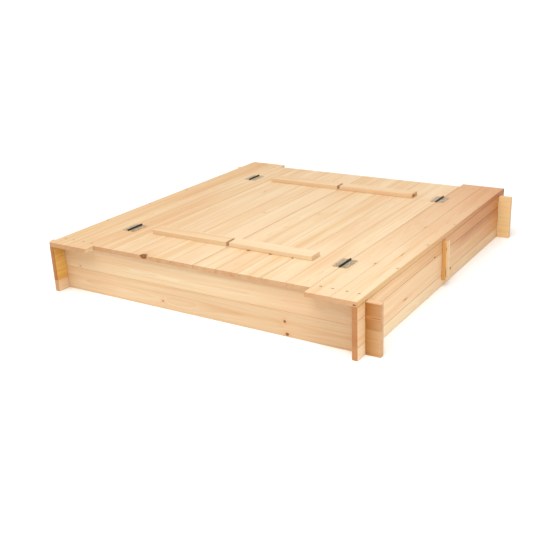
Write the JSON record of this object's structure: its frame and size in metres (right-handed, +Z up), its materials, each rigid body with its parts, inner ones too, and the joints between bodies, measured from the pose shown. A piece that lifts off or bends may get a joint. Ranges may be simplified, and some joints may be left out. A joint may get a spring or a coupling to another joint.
{
  "type": "sandbox with folding cover",
  "caption": "Square timber sandbox with interlocking board walls and a folding board cover whose two halves open out into benches with backrests.",
  "frame": {"origin": "centre of the footprint on the ground", "axes": "+X along the front wall to the right, +Y from the front wall to the back wall, +Z up; the cover is closed at rest"},
  "size_m": [1.2, 1.2, 0.184],
  "materials": {
    "wall_boards": "planed spruce, untreated",
    "cover_boards": "planed spruce, untreated",
    "battens": "planed spruce, untreated",
    "hinge_leaves": "zinc plated",
    "hinge_pins": "zinc plated, dulled",
    "screws": "yellow zinc plated"
  },
  "bodies": {
    "box": {"front_wall_lower_board": "wall_boards", "front_wall_upper_board": "wall_boards", "back_wall_lower_board": "wall_boards", "back_wall_upper_board": "wall_boards", "left_wall_bottom_board": "wall_boards", "left_wall_middle_board": "wall_boards", "left_wall_top_board": "wall_boards", "right_wall_bottom_board": "wall_boards", "right_wall_middle_board": "wall_boards", "right_wall_top_board": "wall_boards", "left_wall_batten": "battens", "right_wall_batten": "battens", "wall_batten_screws": "screws", "left_strip_inner_board": "cover_boards", "left_strip_outer_board": "cover_boards", "right_strip_inner_board": "cover_boards", "right_strip_outer_board": "cover_boards", "strip_screws": "screws", "left_strip_front_leaf": "hinge_leaves", "left_strip_back_leaf": "hinge_leaves", "right_strip_front_leaf": "hinge_leaves", "right_strip_back_leaf": "hinge_leaves", "strip_hinge_pins": "hinge_pins", "strip_leaf_screws": "screws"},
    "left_seat": {"left_seat_inner_board": "cover_boards", "left_seat_outer_board": "cover_boards", "left_seat_front_leaf": "hinge_leaves", "left_seat_back_leaf": "hinge_leaves", "left_seat_front_fold_leaf": "hinge_leaves", "left_seat_back_fold_leaf": "hinge_leaves", "left_fold_hinge_pins": "hinge_pins", "left_seat_leaf_screws": "screws"},
    "left_backrest": {"left_backrest_top_board": "cover_boards", "left_backrest_middle_board": "cover_boards", "left_backrest_bottom_board": "cover_boards", "left_backrest_front_batten": "battens", "left_backrest_back_batten": "battens", "left_backrest_front_leaf": "hinge_leaves", "left_backrest_back_leaf": "hinge_leaves", "left_backrest_leaf_screws": "screws", "left_batten_screws": "screws"},
    "right_seat": {"right_seat_inner_board": "cover_boards", "right_seat_outer_board": "cover_boards", "right_seat_front_leaf": "hinge_leaves", "right_seat_back_leaf": "hinge_leaves", "right_seat_front_fold_leaf": "hinge_leaves", "right_seat_back_fold_leaf": "hinge_leaves", "right_fold_hinge_pins": "hinge_pins", "right_seat_leaf_screws": "screws"},
    "right_backrest": {"right_backrest_top_board": "cover_boards", "right_backrest_middle_board": "cover_boards", "right_backrest_bottom_board": "cover_boards", "right_backrest_front_batten": "battens", "right_backrest_back_batten": "battens", "right_backrest_front_leaf": "hinge_leaves", "right_backrest_back_leaf": "hinge_leaves", "right_backrest_leaf_screws": "screws", "right_batten_screws": "screws"}
  },
  "joints": [
    {"name": "left_seat_hinge", "type": "hinge", "parent": "box", "child": "left_seat", "pos_m": [-0.39643, 0, 0.172], "axis": [0, -1, 0], "range_deg": [0, 182]},
    {"name": "left_backrest_hinge", "type": "hinge", "parent": "left_seat", "child": "left_backrest", "pos_m": [-0.23786, 0, 0.151], "axis": [0, -1, 0], "range_deg": [-76, 0]},
    {"name": "right_seat_hinge", "type": "hinge", "parent": "box", "child": "right_seat", "pos_m": [0.39643, 0, 0.172], "axis": [0, 1, 0], "range_deg": [0, 182]},
    {"name": "right_backrest_hinge", "type": "hinge", "parent": "right_seat", "child": "right_backrest", "pos_m": [0.23786, 0, 0.151], "axis": [0, 1, 0], "range_deg": [-76, 0]}
  ],
  "couplings": [
    {"joint": "left_backrest_hinge", "follows": "left_seat_hinge", "ratio": -0.4175},
    {"joint": "right_backrest_hinge", "follows": "right_seat_hinge", "ratio": -0.4175}
  ]
}
